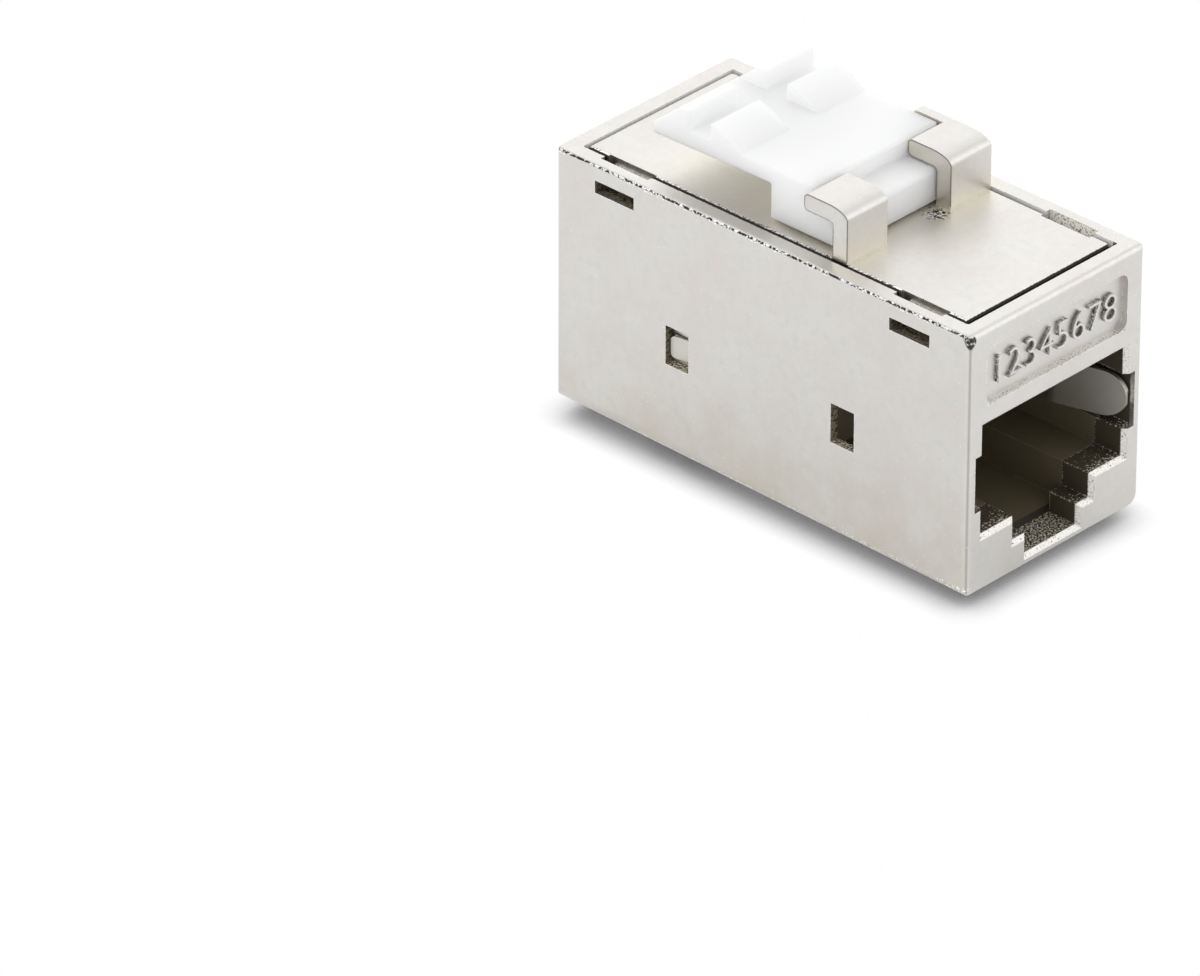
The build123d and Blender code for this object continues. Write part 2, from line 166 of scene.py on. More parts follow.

# Nickel plate over die-cast zinc: satin light grey, clouded with faint pink and green, with the cast grain
# showing through and small painted glints. Painted shade makes it warmer low on the sides, painted warm
# light paler in the shade on top.
nickelPlate = {
    "colour": "#DAD8D4", "pinkColour": "#D8D3CF", "cloud": 3.0, "cloudSpan": (0.35, 0.65),
    "greenColour": "#D2D3CC", "mottle": 0.6, "mottleDetail": 5.0, "mottleSpan": (0.45, 0.75),
    "shadeColour": "#EFEAD8", "shadeReach": 3.0, "shadeSpan": (0.85, 0.4), "shadeTint": 0.7,
    "warmColour": "#C6BEAC", "warmTop": 8.0, "warmFoot": 1.0, "warmSpan": (0.2, 0.7), "warmTint": 0.45,
    "cornerColour": "#9C9992", "cornerWidth": 0.2,
    "glintColour": "#F6F5F2", "sparkle": 0.55, "glintSpan": (0.11, 0.06), "glint": 0.45,
    "grain": 0.2, "grainDetail": 4.0, "roughness": 0.4, "roughnessSpread": 0.12, "bump": 0.015,
    "bumpStrength": 0.6, "edgeRadius": 0.045,
}


def platingColour(tree, at):
    # the clean plating's colour, with its clouds, its painted shade and warm light, darker upright corners
    # and painted glints
    v = nickelPlate
    clouds = addNode(tree, "ShaderNodeTexNoise", values={"Scale": patternScale(v["cloud"])},
                     links={"Vector": at["place"]}).outputs["Fac"]
    mottle = addNode(tree, "ShaderNodeTexNoise",
                     values={"Scale": patternScale(v["mottle"]), "Detail": v["mottleDetail"]},
                     links={"Vector": at["place"]}).outputs["Fac"]
    sparkle = addNode(tree, "ShaderNodeTexVoronoi", values={"Scale": patternScale(v["sparkle"])},
                      links={"Vector": at["place"]})
    openness = addNode(tree, "ShaderNodeAmbientOcclusion", rays,
                       {"Distance": v["shadeReach"] * mm})
    tone = addNode(tree, "ShaderNodeMix", {"data_type": "RGBA"},
                   {"A": linear(v["colour"]), "B": linear(v["pinkColour"])},
                   {"Factor": ramp(tree, clouds, v["cloudSpan"])}).outputs["Result"]
    # painted warm light: paler and warmer on the top where the body closes it in
    shade = times(tree, above(tree, at["z"], bodySizes["coverTop"] - 2 * margin),
                  ramp(tree, openness.outputs["AO"], v["shadeSpan"], 0.0, v["shadeTint"]))
    # painted shade: warmer and darker low on the long sides, most at the foot
    lowSideShade = times(tree, above(tree, at["aside"], bodyHigh.x - 2 * margin),
                 ramp(tree, at["z"], (v["warmTop"] * mm, v["warmFoot"] * mm), 0.0, v["warmTint"]),
                 ramp(tree, clouds, v["warmSpan"]))
    corners = times(tree, above(tree, at["aside"], bodyHigh.x - v["cornerWidth"], v["cornerWidth"] / 2),
                    above(tree, at["along"], bodyHigh.y - v["cornerWidth"], v["cornerWidth"] / 2))
    # painted glints: small bright spots in the colour
    glint = ramp(tree, sparkle.outputs["Distance"], v["glintSpan"], 0.0, v["glint"])
    return layOver(tree, tone, None, [
        (ramp(tree, mottle, v["mottleSpan"]), v["greenColour"], None),
        (shade, v["shadeColour"], None),
        (lowSideShade, v["warmColour"], None),
        (corners, v["cornerColour"], None),
        (glint, v["glintColour"], None),
    ])[0]


# What wears the plating, and the shade and light painted on it: brown-black painted shade in the hollows,
# bare bright crumbs on the edges, painted light on the wall beyond the cover and in the far pockets.
wearShadeAndLight = {
    "shadeAndGrime": "#3B3527", "portFilm": "#4E4737", "black": "#1E1A12", "pocketShade": "#857C66",
    "litFarPocket": "#F6F3EC", "whiteCrumbAndLight": "#FFFFFF", "fleck": "#E9E7E2", "gritSparkle": "#F1EBD8",
    "dullRoughness": 0.6, "brightRoughness": 0.5, "coveredMetal": 0.25,
    "grain": 0.12, "blotches": 0.16, "blotchDetail": 3.0, "shadeBreakSpan": (0.66, 0.6),
}
edgeWear = {"reach": 0.13, "leanSpan": (0.995, 0.9), "crumbSpan": (0.48, 0.6), "crumbInBevel": 0.2}


def wornEdges(tree, reach):
    # near 1 on sharp corners, 0 on flats: how far the rounded normal leans from the true one
    rounded = addNode(tree, "ShaderNodeBevel", rays, {"Radius": reach * mm})
    surface = addNode(tree, "ShaderNodeNewGeometry")
    lean = addNode(tree, "ShaderNodeVectorMath", {"operation": "DOT_PRODUCT"},
                   links={0: rounded.outputs[0], 1: surface.outputs["True Normal"]})
    return ramp(tree, lean.outputs["Value"], edgeWear["leanSpan"])


def speckles(tree, grains, near, darkSpan, brightSpan):
    # dark and bright grains, the more of them the larger near is
    more = addNode(tree, "ShaderNodeMath", {"operation": "ADD"}, links={0: grains, 1: near}).outputs[0]
    fewer = addNode(tree, "ShaderNodeMath", {"operation": "SUBTRACT"}, links={0: grains, 1: near}).outputs[0]
    return ramp(tree, more, darkSpan), ramp(tree, fewer, brightSpan)


nickMarks = {"length": 0.2, "stretch": (0.5, 1.0, 1.3), "detail": 4.0, "span": (0.475, 0.51),
             "foot": 0.17, "top": 0.03}


def topEdgeNicks(tree, at):
    # short dark strokes along both long top edges of the body
    v = nickMarks
    strokes = addNode(tree, "ShaderNodeMapping", values={"Scale": v["stretch"]},
                      links={"Vector": at["place"]})
    broken = addNode(tree, "ShaderNodeTexNoise",
                     values={"Scale": patternScale(v["length"]), "Detail": v["detail"]},
                     links={"Vector": strokes.outputs[0]}).outputs["Fac"]
    return times(tree, above(tree, at["aside"], bodyHigh.x - 2 * margin),
                 within(tree, at["z"], bodyHigh.z - v["foot"], bodyHigh.z - v["top"]),
                 ramp(tree, broken, v["span"]))


fleckMarks = {"sideReach": 0.4, "topBand": 0.28, "footBand": 0.5, "patch": 1.5, "patchDetail": 1.0,
              "patchSpan": (0.38, 0.5), "span": (0.55, 0.6)}


def edgeFlecks(tree, at, grains):
    # bright flecks, in patches, along the long edges of the body, top and bottom
    v = fleckMarks
    foot = bodySizes["baseFoot"]
    patches = addNode(tree, "ShaderNodeTexNoise",
                      values={"Scale": patternScale(v["patch"]), "Detail": v["patchDetail"]},
                      links={"Vector": at["place"]}).outputs["Fac"]
    band = either(tree, within(tree, at["z"], bodyHigh.z - v["topBand"], bodyHigh.z - hair),
                  within(tree, at["z"], foot, foot + v["footBand"]))
    return times(tree, above(tree, at["aside"], bodyHigh.x - v["sideReach"]), band,
                 ramp(tree, patches, v["patchSpan"]), ramp(tree, grains, v["span"]))


roughFacet = {"top": 0.12, "height": 1.15, "width": 0.6, "fade": 0.08, "span": (0.62, 0.54)}


def cornerFacet(tree, at, blotches):
    # the rough little triangle, point down, where the two near faces meet under the top
    v = roughFacet
    corner = -(bodyHigh.x + bodyHigh.y) * mm
    top = bodyHigh.z - v["top"]
    foot = top - v["height"]
    across = addNode(tree, "ShaderNodeVectorMath", {"operation": "DOT_PRODUCT"},
                     {1: (1, 1, 0)}, {0: at["place"]})
    edge = ramp(tree, at["z"], (foot * mm, top * mm), corner, corner + v["width"] * mm)
    beyond = addNode(tree, "ShaderNodeMath", {"operation": "SUBTRACT"},
                     links={0: across.outputs["Value"], 1: edge}).outputs[0]
    return times(tree, below(tree, beyond, -v["fade"] / 2, v["fade"]), within(tree, at["z"], foot, top),
                 ramp(tree, blotches, v["span"]))


seamLine = {"lip": 0.13, "gap": 0.21, "sideEnd": 0.15, "depth": 1.3, "ragged": 0.06}


def seamFilm(tree, at, blotches):
    # painted shade: the black line round the near side and the rear end of the cover, and down the wall
    # beyond the gap
    v = seamLine
    half = bodySizes["coverHalf"]
    past = addNode(tree, "ShaderNodeVectorMath", {"operation": "MULTIPLY_ADD"},
                   {1: (-1, -1, 1), 2: (-half * mm, (coverLow.y - hair) * mm, 0)}, {0: at["place"]})
    apart = addNode(tree, "ShaderNodeSeparateXYZ", links={"Vector": past.outputs[0]})
    outside = addNode(tree, "ShaderNodeMath", {"operation": "ADD"}, links={
        0: either(tree, apart.outputs["X"], apart.outputs["Y"]),
        1: ramp(tree, blotches, (0, 1), -v["ragged"] * mm, v["ragged"] * mm)}).outputs[0]
    return times(tree, within(tree, outside, -v["lip"], v["gap"]),
                 within(tree, at["z"], bodyHigh.z - v["depth"], bodyHigh.z + hair),
                 below(tree, at["y"], coverHigh.y), below(tree, at["x"], half + v["sideEnd"]))


litWallBand = {"endFrom": 0.04, "endTo": 0.2, "sideFrom": 0.1, "sideTo": 0.35, "depth": 0.5}


def paleSeam(tree, at):
    # painted light: the wall beyond the front end and the far side of the cover, painted bright white
    v = litWallBand
    half = bodySizes["coverHalf"]
    end = times(tree, within(tree, at["y"], coverHigh.y + v["endFrom"], coverHigh.y + v["endTo"]),
                below(tree, at["aside"], half, v["endTo"]))
    side = times(tree, within(tree, at["x"], half + v["sideFrom"], half + v["sideTo"]),
                 within(tree, at["y"], coverLow.y, coverHigh.y + v["endTo"]))
    return times(tree, either(tree, end, side),
                 within(tree, at["z"], bodyHigh.z - v["depth"], bodyHigh.z - hair))


coverBurrs = {"reach": 0.34, "thick": 0.2, "darkSpan": (0.66, 0.7), "brightSpan": (0.37, 0.33),
              "endRoom": 0.3, "depth": 0.15}


def burrs(tree, at, grains):
    # dark and bright grains on the cover beside the near seam
    v = coverBurrs
    half = bodySizes["coverHalf"]
    top = bodySizes["coverTop"]
    near = ramp(tree, at["aside"], ((half - v["reach"]) * mm, (half - 2 * margin) * mm), 0.0, v["thick"])
    band = times(tree, below(tree, at["x"], -2 * margin, 4 * margin),
                 inBlock(tree, at, (half - v["reach"], half + hair), (0, coverHigh.y - v["endRoom"]),
                         (top - v["depth"], top + hair)))
    dark, bright = speckles(tree, grains, near, v["darkSpan"], v["brightSpan"])
    return times(tree, dark, band), times(tree, bright, band)


earFootSpot = {"place": (1.9, -4.9), "radius": 0.95, "core": 0.3, "thick": 0.2, "darkSpan": (0.66, 0.72),
             "brightSpan": (0.32, 0.26), "edgeSpan": (0.0, 0.02)}


def scuff(tree, at, grains):
    # the rough speckled spot on the cover at the foot of the far ear: its dark grains are painted shade, its
    # bright grains specks
    v = earFootSpot
    top = bodySizes["coverTop"]
    reach = addNode(tree, "ShaderNodeVectorMath", {"operation": "DISTANCE"},
                    {1: Vector((*v["place"], top)) * mm}, {0: at["place"]}).outputs["Value"]
    near = times(tree, ramp(tree, reach, (v["radius"] * mm, v["core"] * mm), 0.0, v["thick"]),
                 within(tree, at["z"], top - 2 * margin, top + margin))
    dark, bright = speckles(tree, grains, near, v["darkSpan"], v["brightSpan"])
    touched = ramp(tree, near, v["edgeSpan"])
    return times(tree, dark, touched), times(tree, bright, touched)


earProfile = {"reach": 0.16, "span": (0.15, 0.4), "foot": 0.2, "fade": 0.1}


def earLines(tree, at):
    # the fine dark line round the profile of both hooked ears
    v = earProfile
    sides = [within(tree, at["x"], bodySizes[side] - margin, bodySizes[side] + margin)
             for side in ("nearEarSide", "farEarSide")]
    return times(tree, ramp(tree, wornEdges(tree, v["reach"]), v["span"]), either(tree, *sides),
                 above(tree, at["z"], bodySizes["coverTop"] + v["foot"], v["fade"]))


recessShading = {"lip": 0.14, "ragged": 0.4, "depth": 0.5, "spotSpan": (0.5, 0.58), "farSpan": (0.36, 0.46)}


def pocketFilm(tree, at, blotches):
    # brown painted shade in the cover's four lug pockets, in the slots below them and in the side windows
    v = bodySizes
    ragged = ramp(tree, blotches, (0, 1), -recessShading["ragged"] * mm, recessShading["ragged"] * mm)
    inner = addNode(tree, "ShaderNodeMath", {"operation": "ADD"},
                    links={0: at["aside"], 1: ragged}).outputs[0]
    pocketShade = times(tree, above(tree, inner, v["coverHalf"] - recessShading["lip"], 2 * hair),
                   inBlock(tree, at, (0, v["pocketOutside"]), (v["pocketNear"], v["pocketFar"]),
                           (v["slotTop"] - recessShading["depth"], v["coverTop"] + margin)))
    slot = inBlock(tree, at, (v["coverHalf"], v["slotOutside"]),
                   (v["slotNear"] - margin, v["slotFar"] + margin),
                   (v["slotFoot"] - margin, v["slotTop"] + margin))
    window = inBlock(tree, at, (v["innerHalf"] - 2 * margin, bodyHigh.x - 2 * hair),
                     (v["windowNear"] - margin, v["windowFar"] + margin),
                     (v["windowFoot"] - margin, v["windowTop"] + margin))
    return either(tree, pocketShade, slot, window)


def portFilm(tree, at):
    # painted shade: the dark inside of both port mouths, behind their bright bevel
    v = bodySizes
    return inBlock(tree, at, (-margin, v["channelHalf"] + margin),
                   (bodyHigh.y - v["endWall"] - 2 * margin, bodyHigh.y - v["mouthDepth"]),
                   (v["portFoot"], v["portTop"]))


floorGritSparkle = {"depth": 1.0, "band": 0.1, "thick": 0.16, "span": (0.66, 0.72), "upwards": (0.4, 0.8)}


def portGrits(tree, at, grains):
    # bright grains, painted as sparkle on what faces up, thickest by the mouth and on the channel's floor
    # and window sills
    v = floorGritSparkle
    mouth = bodyHigh.y - bodySizes["mouthDepth"]
    byMouth = ramp(tree, at["along"], ((mouth - v["depth"]) * mm, mouth * mm), 0.0, v["thick"])
    floor, sill = (within(tree, at["z"], level - v["band"], level + v["band"])
                   for level in (bodySizes["tabFloor"], bodySizes["windowFoot"]))
    lying = either(tree, floor, times(tree, sill, above(tree, at["aside"], bodySizes["innerHalf"])))
    near = either(tree, byMouth, ramp(tree, lying, (0, 1), 0.0, v["thick"]))
    bright = addNode(tree, "ShaderNodeMath", {"operation": "ADD"}, links={0: grains, 1: near}).outputs[0]
    surface = addNode(tree, "ShaderNodeNewGeometry")
    facing = addNode(tree, "ShaderNodeSeparateXYZ", links={"Vector": surface.outputs["True Normal"]})
    return times(tree, ramp(tree, bright, v["span"]), ramp(tree, facing.outputs["Z"], v["upwards"]))


mouthEdge = {"brightSpan": (0.45, 0.6), "darkSpan": (0.37, 0.32), "faceGap": 0.03, "roomBelow": 0.3,
             "roomAbove": 0.2, "lipBand": 0.06}


def mouthBevel(tree, at):
    # the crumbly bevel round both port mouths, and the lower lip of each sunken field
    v = bodySizes
    band = mouthEdge["lipBand"]
    bevel = inBlock(tree, at, (-margin, v["channelHalf"] + margin),
                    (bodyHigh.y - v["mouthDepth"] - hair, bodyHigh.y - mouthEdge["faceGap"]),
                    (v["portFoot"] - mouthEdge["roomBelow"], v["portTop"] + mouthEdge["roomAbove"]))
    lip = inBlock(tree, at, (-margin, v["fieldHalf"] - margin),
                  (bodyHigh.y - v["fieldDepth"], bodyHigh.y + margin),
                  (v["fieldFoot"] - band, v["fieldFoot"] + band))
    return either(tree, bevel, lip)


def wearLayers(tree, at, hollowReach, hollowSpan):
    # all the wear and the painted shade and light, lowest first, as layOver takes it; the masks that hide
    # the metal; and the edge crumbs
    v = wearShadeAndLight
    grains = addNode(tree, "ShaderNodeTexNoise", values={"Scale": patternScale(v["grain"])},
                     links={"Vector": at["place"]}).outputs["Fac"]
    blotches = addNode(tree, "ShaderNodeTexNoise",
                   values={"Scale": patternScale(v["blotches"]), "Detail": v["blotchDetail"]},
                   links={"Vector": at["place"]}).outputs["Fac"]
    hollow = addNode(tree, "ShaderNodeAmbientOcclusion", rays, {"Distance": hollowReach * mm})
    # painted shade: brown-black in the deepest hollows, broken up by blotch noise
    shadeAndGrime = times(tree, ramp(tree, hollow.outputs["AO"], hollowSpan), ramp(tree, blotches, v["shadeBreakSpan"]))
    port = portFilm(tree, at)
    mouth = mouthBevel(tree, at)
    crumbs = times(tree, wornEdges(tree, edgeWear["reach"]), ramp(tree, grains, edgeWear["crumbSpan"]),
                   ramp(tree, mouth, (0, 1), 1.0, edgeWear["crumbInBevel"]))
    litWall = paleSeam(tree, at)
    earFootShadeGrains, earFootSpecks = scuff(tree, at, grains)
    darkBurrs, brightBurrs = burrs(tree, at, grains)
    facet = cornerFacet(tree, at, blotches)
    seam = seamFilm(tree, at, blotches)
    nicks = topEdgeNicks(tree, at)
    pockets = pocketFilm(tree, at, blotches)
    # darker spots in the painted shade of the pockets
    pocketSpots = times(tree, pockets, ramp(tree, blotches, recessShading["spotSpan"]))
    # painted light: pale speckles in the far pockets
    litFarPockets = times(tree, pockets, above(tree, at["x"], -2 * margin, 4 * margin),
                       ramp(tree, grains, recessShading["farSpan"]))
    # painted sparkle on upward grains in the ports and pockets
    gritSparkles = times(tree, portGrits(tree, at, grains), either(tree, port, pockets))
    dull = v["dullRoughness"]
    bright = v["brightRoughness"]
    layers = [
        # painted shade inside the port mouths
        (port, v["portFilm"], dull),
        # painted shade in the hollows
        (shadeAndGrime, v["shadeAndGrime"], dull),
        # painted light on the wall beyond the cover's gap
        (litWall, v["whiteCrumbAndLight"], bright),
        (times(tree, mouth, ramp(tree, grains, mouthEdge["darkSpan"])), v["portFilm"], dull),
        (times(tree, mouth, ramp(tree, grains, mouthEdge["brightSpan"])), v["fleck"], bright),
        # painted shade at the foot of the far ear
        (earFootShadeGrains, v["shadeAndGrime"], dull),
        (earFootSpecks, v["whiteCrumbAndLight"], bright),
        (crumbs, v["whiteCrumbAndLight"], bright),
        (brightBurrs, v["whiteCrumbAndLight"], bright),
        (facet, v["shadeAndGrime"], dull),
        (darkBurrs, v["shadeAndGrime"], dull),
        # painted shade in the gap round the cover
        (seam, v["black"], dull),
        # painted shade in the pockets, slots and windows
        (pockets, v["pocketShade"], dull),
        (edgeFlecks(tree, at, grains), v["whiteCrumbAndLight"], bright),
        # darker spots in that painted shade
        (pocketSpots, v["shadeAndGrime"], dull),
        # painted light in the far pockets
        (litFarPockets, v["litFarPocket"], bright),
        (gritSparkles, v["gritSparkle"], bright),
        (nicks, v["black"], dull),
        (earLines(tree, at), v["black"], dull),
    ]
    return layers, (port, pockets, shadeAndGrime, facet, darkBurrs, seam, nicks, litWall), crumbs


def nickelCasting(name, hollowReach, hollowSpan):
    v = nickelPlate
    material, tree, shader, place = newMaterial(name, {})
    at = bodyPlaces(tree, place)
    grain = addNode(tree, "ShaderNodeTexNoise",
                    values={"Scale": patternScale(v["grain"]), "Detail": v["grainDetail"]},
                    links={"Vector": place}).outputs["Fac"]
    rough = ramp(tree, grain, (0, 1), v["roughness"] - v["roughnessSpread"],
                 v["roughness"] + v["roughnessSpread"])
    layers, hidden, crumbs = wearLayers(tree, at, hollowReach, hollowSpan)
    colour, rough = layOver(tree, platingColour(tree, at), rough, layers)
    tree.links.new(colour, shader.inputs["Base Color"])
    tree.links.new(rough, shader.inputs["Roughness"])
    metal = ramp(tree, either(tree, *hidden), (0, 1), 1.0, wearShadeAndLight["coveredMetal"])
    tree.links.new(metal, shader.inputs["Metallic"])
    height = addNode(tree, "ShaderNodeMath", {"operation": "ADD"}, links={0: grain, 1: crumbs})
    rounded = addNode(tree, "ShaderNodeBevel", rays, {"Radius": v["edgeRadius"] * mm})
    bump = addNode(tree, "ShaderNodeBump",
                   values={"Strength": v["bumpStrength"], "Distance": v["bump"] * mm},
                   links={"Height": height.outputs[0], "Normal": rounded.outputs[0]})
    tree.links.new(bump.outputs[0], shader.inputs["Normal"])
    return material


# Moulded white nylon: smooth, a little see-through, cool white.
nylon = {"colour": "#FAFBFB", "shadeColour": "#F6F8F8", "cloud": 5.0, "roughness": 0.42, "ior": 1.53,
         "scatter": 2.0, "scatterColour": (1.0, 0.95, 0.9), "grain": 0.15, "bump": 0.004,
         "bumpStrength": 0.5, "edgeRadius": 0.1}


def whiteNylon():
    v = nylon
    material, tree, shader, place = newMaterial("mouldedNylon", {
        "Roughness": v["roughness"], "IOR": v["ior"], "Subsurface Weight": 1.0,
        "Subsurface Radius": v["scatterColour"], "Subsurface Scale": v["scatter"] * mm})
    cloud = addNode(tree, "ShaderNodeTexNoise", values={"Scale": patternScale(v["cloud"])},
                    links={"Vector": place})
    tone = addNode(tree, "ShaderNodeMix", {"data_type": "RGBA"},
                   {"A": linear(v["colour"]), "B": linear(v["shadeColour"])},
                   {"Factor": cloud.outputs["Fac"]})
    tree.links.new(tone.outputs["Result"], shader.inputs["Base Color"])
    grain = addNode(tree, "ShaderNodeTexNoise", values={"Scale": patternScale(v["grain"])},
                    links={"Vector": place})
    edge = addNode(tree, "ShaderNodeBevel", smoothRays, {"Radius": v["edgeRadius"] * mm})
    bump = addNode(tree, "ShaderNodeBump",
                   values={"Strength": v["bumpStrength"], "Distance": v["bump"] * mm},
                   links={"Height": grain.outputs["Fac"], "Normal": edge.outputs[0]})
    tree.links.new(bump.outputs[0], shader.inputs["Normal"])
    return material


# Glass-filled black polyester, moulded matt: brown-black with a fine grain, its edges painted a little paler
# as a highlight.
blackMoulding = {"colour": "#645B49", "paleColour": "#706750", "edgeHighlightColour": "#B5AC98", "edgeHighlightReach": 0.06,
                 "edgeHighlight": 0.5, "footColour": "#2B271E", "footTop": 2.2, "faceDepth": 0.03, "roughness": 0.5,
                 "ior": 1.55, "grain": 0.2, "grainDetail": 3.0, "bump": 0.01, "bumpStrength": 0.6}


def blackPlastic():
    v = blackMoulding
    material, tree, shader, place = newMaterial("mouldedBlackPolyester", {"IOR": v["ior"],
                                                                         "Roughness": v["roughness"]})
    at = bodyPlaces(tree, place)
    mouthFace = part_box("front_port_insert")[1].y / mm
    grain = addNode(tree, "ShaderNodeTexNoise",
                    values={"Scale": patternScale(v["grain"]), "Detail": v["grainDetail"]},
                    links={"Vector": place})
    tone = addNode(tree, "ShaderNodeMix", {"data_type": "RGBA"},
                   {"A": linear(v["colour"]), "B": linear(v["paleColour"])},
                   {"Factor": grain.outputs["Fac"]})
    # painted highlight: paler on the edges
    paintedEdgeHighlight = ramp(tree, wornEdges(tree, v["edgeHighlightReach"]), (0, 1), 0.0, v["edgeHighlight"])
    foot = times(tree, above(tree, at["along"], mouthFace - v["faceDepth"], v["faceDepth"] / 3),
                 below(tree, at["z"], v["footTop"], 2 * margin))
    colour = layOver(tree, tone.outputs["Result"], None,
                     [(paintedEdgeHighlight, v["edgeHighlightColour"], None), (foot, v["footColour"], None)])[0]
    tree.links.new(colour, shader.inputs["Base Color"])
    bump = addNode(tree, "ShaderNodeBump",
                   values={"Strength": v["bumpStrength"], "Distance": v["bump"] * mm},
                   links={"Height": grain.outputs["Fac"]})
    tree.links.new(bump.outputs[0], shader.inputs["Normal"])
    return material


# Rolled stainless strip: grey satin with fine lines along the strip.
strip = {"colour": "#D2D0C8", "roughnessSpan": (0.36, 0.5), "line": 0.06, "stretch": 20.0, "bump": 0.004,
         "bumpStrength": 0.5}


def springSteel():
    v = strip
    material, tree, shader, place = newMaterial("rolledStainless", {"Metallic": 1.0,
                                                                   "Base Color": linear(v["colour"])})
    along = addNode(tree, "ShaderNodeMapping", values={"Scale": (1.0, 1 / v["stretch"], 1.0)},
                    links={"Vector": place})
    lines = addNode(tree, "ShaderNodeTexNoise", values={"Scale": patternScale(v["line"])},
                    links={"Vector": along.outputs[0]}).outputs["Fac"]
    tree.links.new(ramp(tree, lines, (0, 1), *v["roughnessSpan"]), shader.inputs["Roughness"])
    bump = addNode(tree, "ShaderNodeBump",
                   values={"Strength": v["bumpStrength"], "Distance": v["bump"] * mm},
                   links={"Height": lines})
    tree.links.new(bump.outputs[0], shader.inputs["Normal"])
    return material


# Thin gold over sprung bronze wire: smooth and bright, with soft lines where the tip is wiped.
wire = {"colour": "#E6C171", "roughnessSpan": (0.17, 0.32), "line": 0.05, "stretch": 15.0}


def goldPlate():
    v = wire
    material, tree, shader, place = newMaterial("goldPlatedBronze", {"Metallic": 1.0,
                                                                    "Base Color": linear(v["colour"])})
    along = addNode(tree, "ShaderNodeMapping", values={"Scale": (1.0, 1 / v["stretch"], 1.0)},
                    links={"Vector": place})
    lines = addNode(tree, "ShaderNodeTexNoise", values={"Scale": patternScale(v["line"])},
                    links={"Vector": along.outputs[0]}).outputs["Fac"]
    tree.links.new(ramp(tree, lines, (0, 1), *v["roughnessSpan"]), shader.inputs["Roughness"])
    return material


# Glass-epoxy laminate under solder mask: glossy green with the faint weave of the glass cloth.
laminate = {"colour": "#1F5A34", "weaveColour": "#2A6B40", "weave": 0.5, "roughness": 0.25, "ior": 1.5}


def boardLaminate():
    v = laminate
    material, tree, shader, place = newMaterial("glassEpoxyBoard", {"IOR": v["ior"],
                                                                   "Roughness": v["roughness"]})
    weave = addNode(tree, "ShaderNodeTexChecker", values={"Scale": patternScale(v["weave"])},
                    links={"Vector": place})
    tone = addNode(tree, "ShaderNodeMix", {"data_type": "RGBA"},
                   {"A": linear(v["colour"]), "B": linear(v["weaveColour"])},
                   {"Factor": weave.outputs["Fac"]})
    tree.links.new(tone.outputs["Result"], shader.inputs["Base Color"])
    return material


# The painted shade in hollows reaches further out round the raised numbers than on the body.
bodyHollows = {"hollowReach": 0.5, "hollowSpan": (0.3, 0.1)}
numberHollows = {"hollowReach": 0.4, "hollowSpan": (0.9, 0.5)}
casting = nickelCasting("nickelPlatedZinc", **bodyHollows)
raisedCasting = nickelCasting("nickelPlatedZincRaised", **numberHollows)
finishes = {
    "nickel_casting": casting,
    "white_nylon": whiteNylon(),
    "black_plastic": blackPlastic(),
    "board_laminate": boardLaminate(),
    "spring_metal": springSteel(),
    "gold_contact": goldPlate(),
}
for part in frame["record"]["subparts"]:
    cadNode = nodes[part["node"]]
    cadNode.data.materials.clear()
    cadNode.data.materials.append(finishes[part["material_slot"]])

# Raised plain numbers 1 to 8 in the sunken field above each port, one over each way.
numbers = {"ways": 8, "height": 1.85, "pitch": 1.32, "raise": 0.25, "sink": 0.05, "middleHeight": 14.5,
           "edge": 0.04, "thinning": 0.075, "capShare": 0.72}  # a digit is 0.72 of the text size


def wayNumbers(name, turn):
    v = numbers
    fieldFloor = bodySizes["fieldDepth"] - bodyHigh.y
    digits = []
    for way in range(1, v["ways"] + 1):
        curve = bpy.data.curves.new(f"digit{way}", "FONT")
        curve.body = str(way)
        curve.align_x = "CENTER"
        curve.size = v["height"] * mm / v["capShare"]
        curve.extrude = (v["raise"] + v["sink"]) / 2 * mm - v["edge"] * mm
        curve.bevel_depth = v["edge"] * mm
        curve.bevel_resolution = 2
        curve.offset = -v["thinning"] * mm
        digit = bpy.data.objects.new(f"digit{way}", curve)
        bpy.context.scene.collection.objects.link(digit)
        bpy.context.view_layer.update()
        mesh = bpy.data.meshes.new_from_object(digit.evaluated_get(bpy.context.evaluated_depsgraph_get()))
        bpy.data.objects.remove(digit)
        across = (way - (v["ways"] + 1) / 2) * v["pitch"]
        outwards = fieldFloor + (v["sink"] - v["raise"]) / 2
        up = v["middleHeight"] - v["height"] / 2
        place = Vector((across, outwards, up)) * mm
        mesh.transform(Matrix.Translation(place) @ Matrix.Rotation(math.pi / 2, 4, "X"))
        mesh.transform(Matrix.Rotation(turn, 4, "Z"))
        digits.append(bpy.data.objects.new(f"digit{way}", mesh))
        bpy.context.scene.collection.objects.link(digits[-1])
    with bpy.context.temp_override(active_object=digits[0], selected_editable_objects=digits):
        bpy.ops.object.join()
    row = digits[0]
    row.name = name
    row.data.materials.clear()
    row.data.materials.append(raisedCasting)
    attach(row, "root")


wayNumbers("rearWayNumbers", 0)
wayNumbers("frontWayNumbers", math.pi)
print("numbers set over both ports")

# White studio paper. The camera sees it white, with a painted soft shadow, darker where the object closes
# the floor in, that fades within shadowReach of the foot.
studio = {"floorSize": 4.0, "floorColour": "#F2F2F2", "reflectionLift": 0.16, "shadowReach": 2.0,
          "shadowSpan": (0.27, 0.915), "darkest": 0.12, "skyLight": 0.95, "skySeen": 1.0}


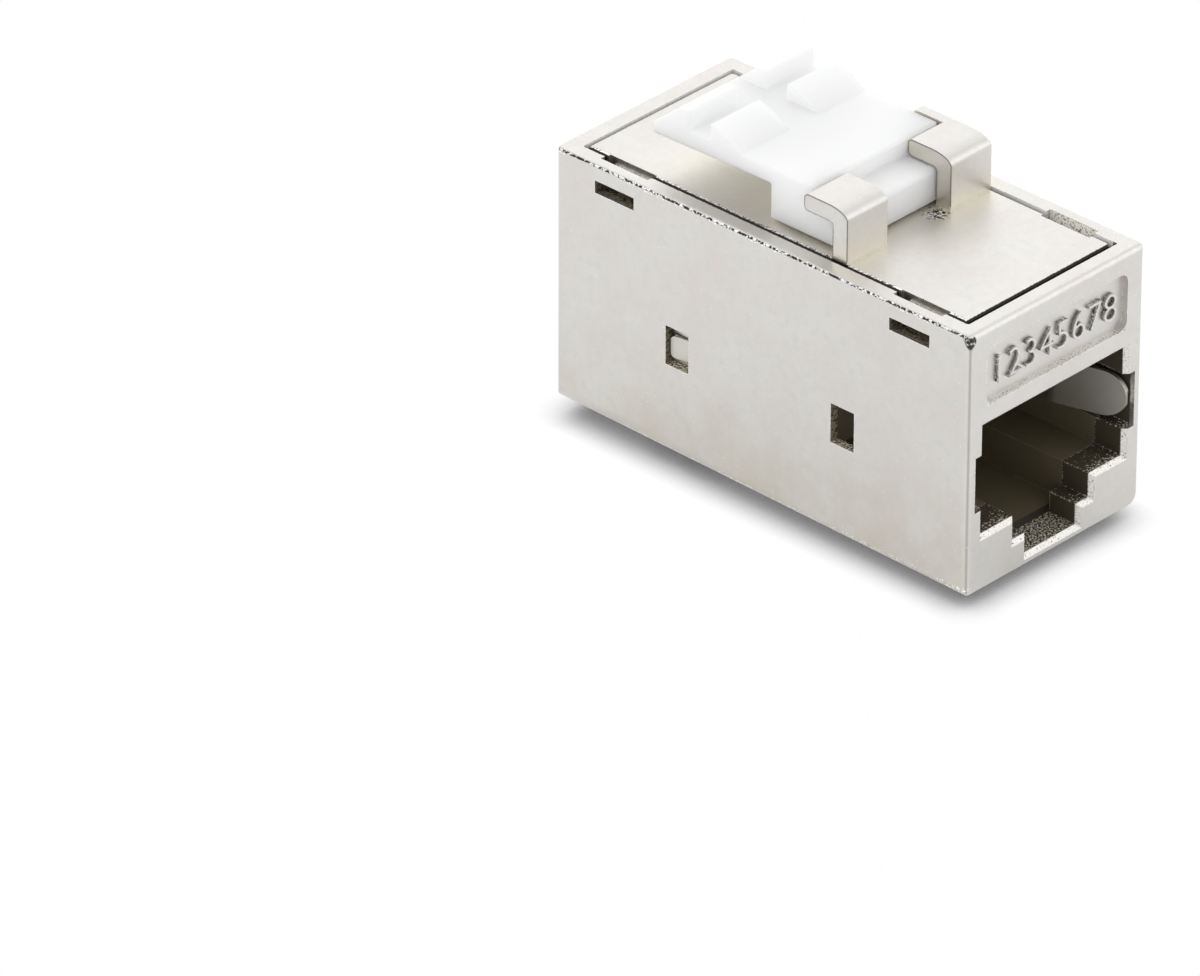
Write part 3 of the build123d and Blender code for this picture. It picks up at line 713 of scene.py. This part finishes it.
def studioFloor():
    v = studio
    mesh = bpy.data.meshes.new("floor")
    half = v["floorSize"] / 2
    corners = [(-half, -half, 0), (half, -half, 0), (half, half, 0), (-half, half, 0)]
    mesh.from_pydata(corners, [], [(0, 1, 2, 3)])
    floor = bpy.data.objects.new("floor", mesh)
    bpy.context.scene.collection.objects.link(floor)
    material = bpy.data.materials.new("studioPaper")
    material.use_nodes = True
    tree = material.node_tree
    tree.nodes.clear()
    path = addNode(tree, "ShaderNodeLightPath")
    bounced = either(tree, path.outputs["Is Glossy Ray"], path.outputs["Is Transmission Ray"])
    lift = ramp(tree, bounced, (0, 1), 0.0, v["reflectionLift"])
    paper = addNode(tree, "ShaderNodeBsdfDiffuse", values={"Color": linear(v["floorColour"])})
    glow = addNode(tree, "ShaderNodeEmission", links={"Strength": lift})
    lit = addNode(tree, "ShaderNodeAddShader", links={0: paper.outputs[0], 1: glow.outputs[0]})
    # painted shadow: the floor's glow for the camera dims where the object closes it in
    openness = addNode(tree, "ShaderNodeAmbientOcclusion", smoothRays,
                       {"Distance": v["shadowReach"] * mm})
    shade = ramp(tree, openness.outputs["AO"], v["shadowSpan"], v["darkest"], 1.0)
    white = addNode(tree, "ShaderNodeEmission", links={"Strength": shade})
    seen = addNode(tree, "ShaderNodeMixShader",
                   links={0: path.outputs["Is Camera Ray"], 1: lit.outputs[0], 2: white.outputs[0]})
    addNode(tree, "ShaderNodeOutputMaterial", links={"Surface": seen.outputs[0]})
    mesh.materials.append(material)


def studioSky():
    v = studio
    world = bpy.data.worlds.new("studioSky")
    bpy.context.scene.world = world
    world.use_nodes = True
    tree = world.node_tree
    tree.nodes.clear()
    path = addNode(tree, "ShaderNodeLightPath")
    seen = either(tree, path.outputs["Is Camera Ray"], path.outputs["Is Glossy Ray"],
                  path.outputs["Is Transmission Ray"])
    strength = ramp(tree, seen, (0, 1), v["skyLight"], v["skySeen"])
    sky = addNode(tree, "ShaderNodeBackground", links={"Strength": strength})
    addNode(tree, "ShaderNodeOutputWorld", links={"Surface": sky.outputs[0]})


# Softboxes, all aimed at the object: place and size in metres, power in watts.
lamps = {
    "backSoftbox": {"place": (0.62, 0.56, 0.5), "size": 1.1, "power": 2.2},
    "rightSoftbox": {"place": (0.62, -0.56, 0.5), "size": 0.8, "power": 1.5},
    "leftSoftbox": {"place": (-0.62, 0.4, 0.5), "size": 0.8, "power": 1.8},
}
lampTarget = Vector((0, 0, 0.01))


def softboxes():
    for name, v in lamps.items():
        light = bpy.data.lights.new(name, "AREA")
        light.size = v["size"]
        light.energy = v["power"]
        lamp = bpy.data.objects.new(name, light)
        lamp.location = v["place"]
        lamp.rotation_euler = (lampTarget - lamp.location).to_track_quat("-Z", "Y").to_euler()
        bpy.context.scene.collection.objects.link(lamp)


studioFloor()
studioSky()
softboxes()
print("studio set")

# Long lens from above the rear left corner, as the object was photographed; sizes in mm, turn in degrees.
view = {"place": (-451.973, -406.117, 360.541), "turn": (59.2023, -0.1276, -46.6789), "lens": 375.134,
        "sensor": 36.0, "clipStart": 50.0}


def placeCamera():
    v = view
    data = bpy.data.cameras.new("camera")
    data.sensor_width = v["sensor"]
    data.lens = v["lens"]
    data.clip_start = v["clipStart"] * mm
    camera = bpy.data.objects.new("camera", data)
    camera.location = Vector(v["place"]) * mm
    camera.rotation_euler = [math.radians(angle) for angle in v["turn"]]
    bpy.context.scene.collection.objects.link(camera)
    bpy.context.scene.camera = camera


placeCamera()
bpy.context.scene.view_settings.view_transform = "Standard"
print("camera placed")
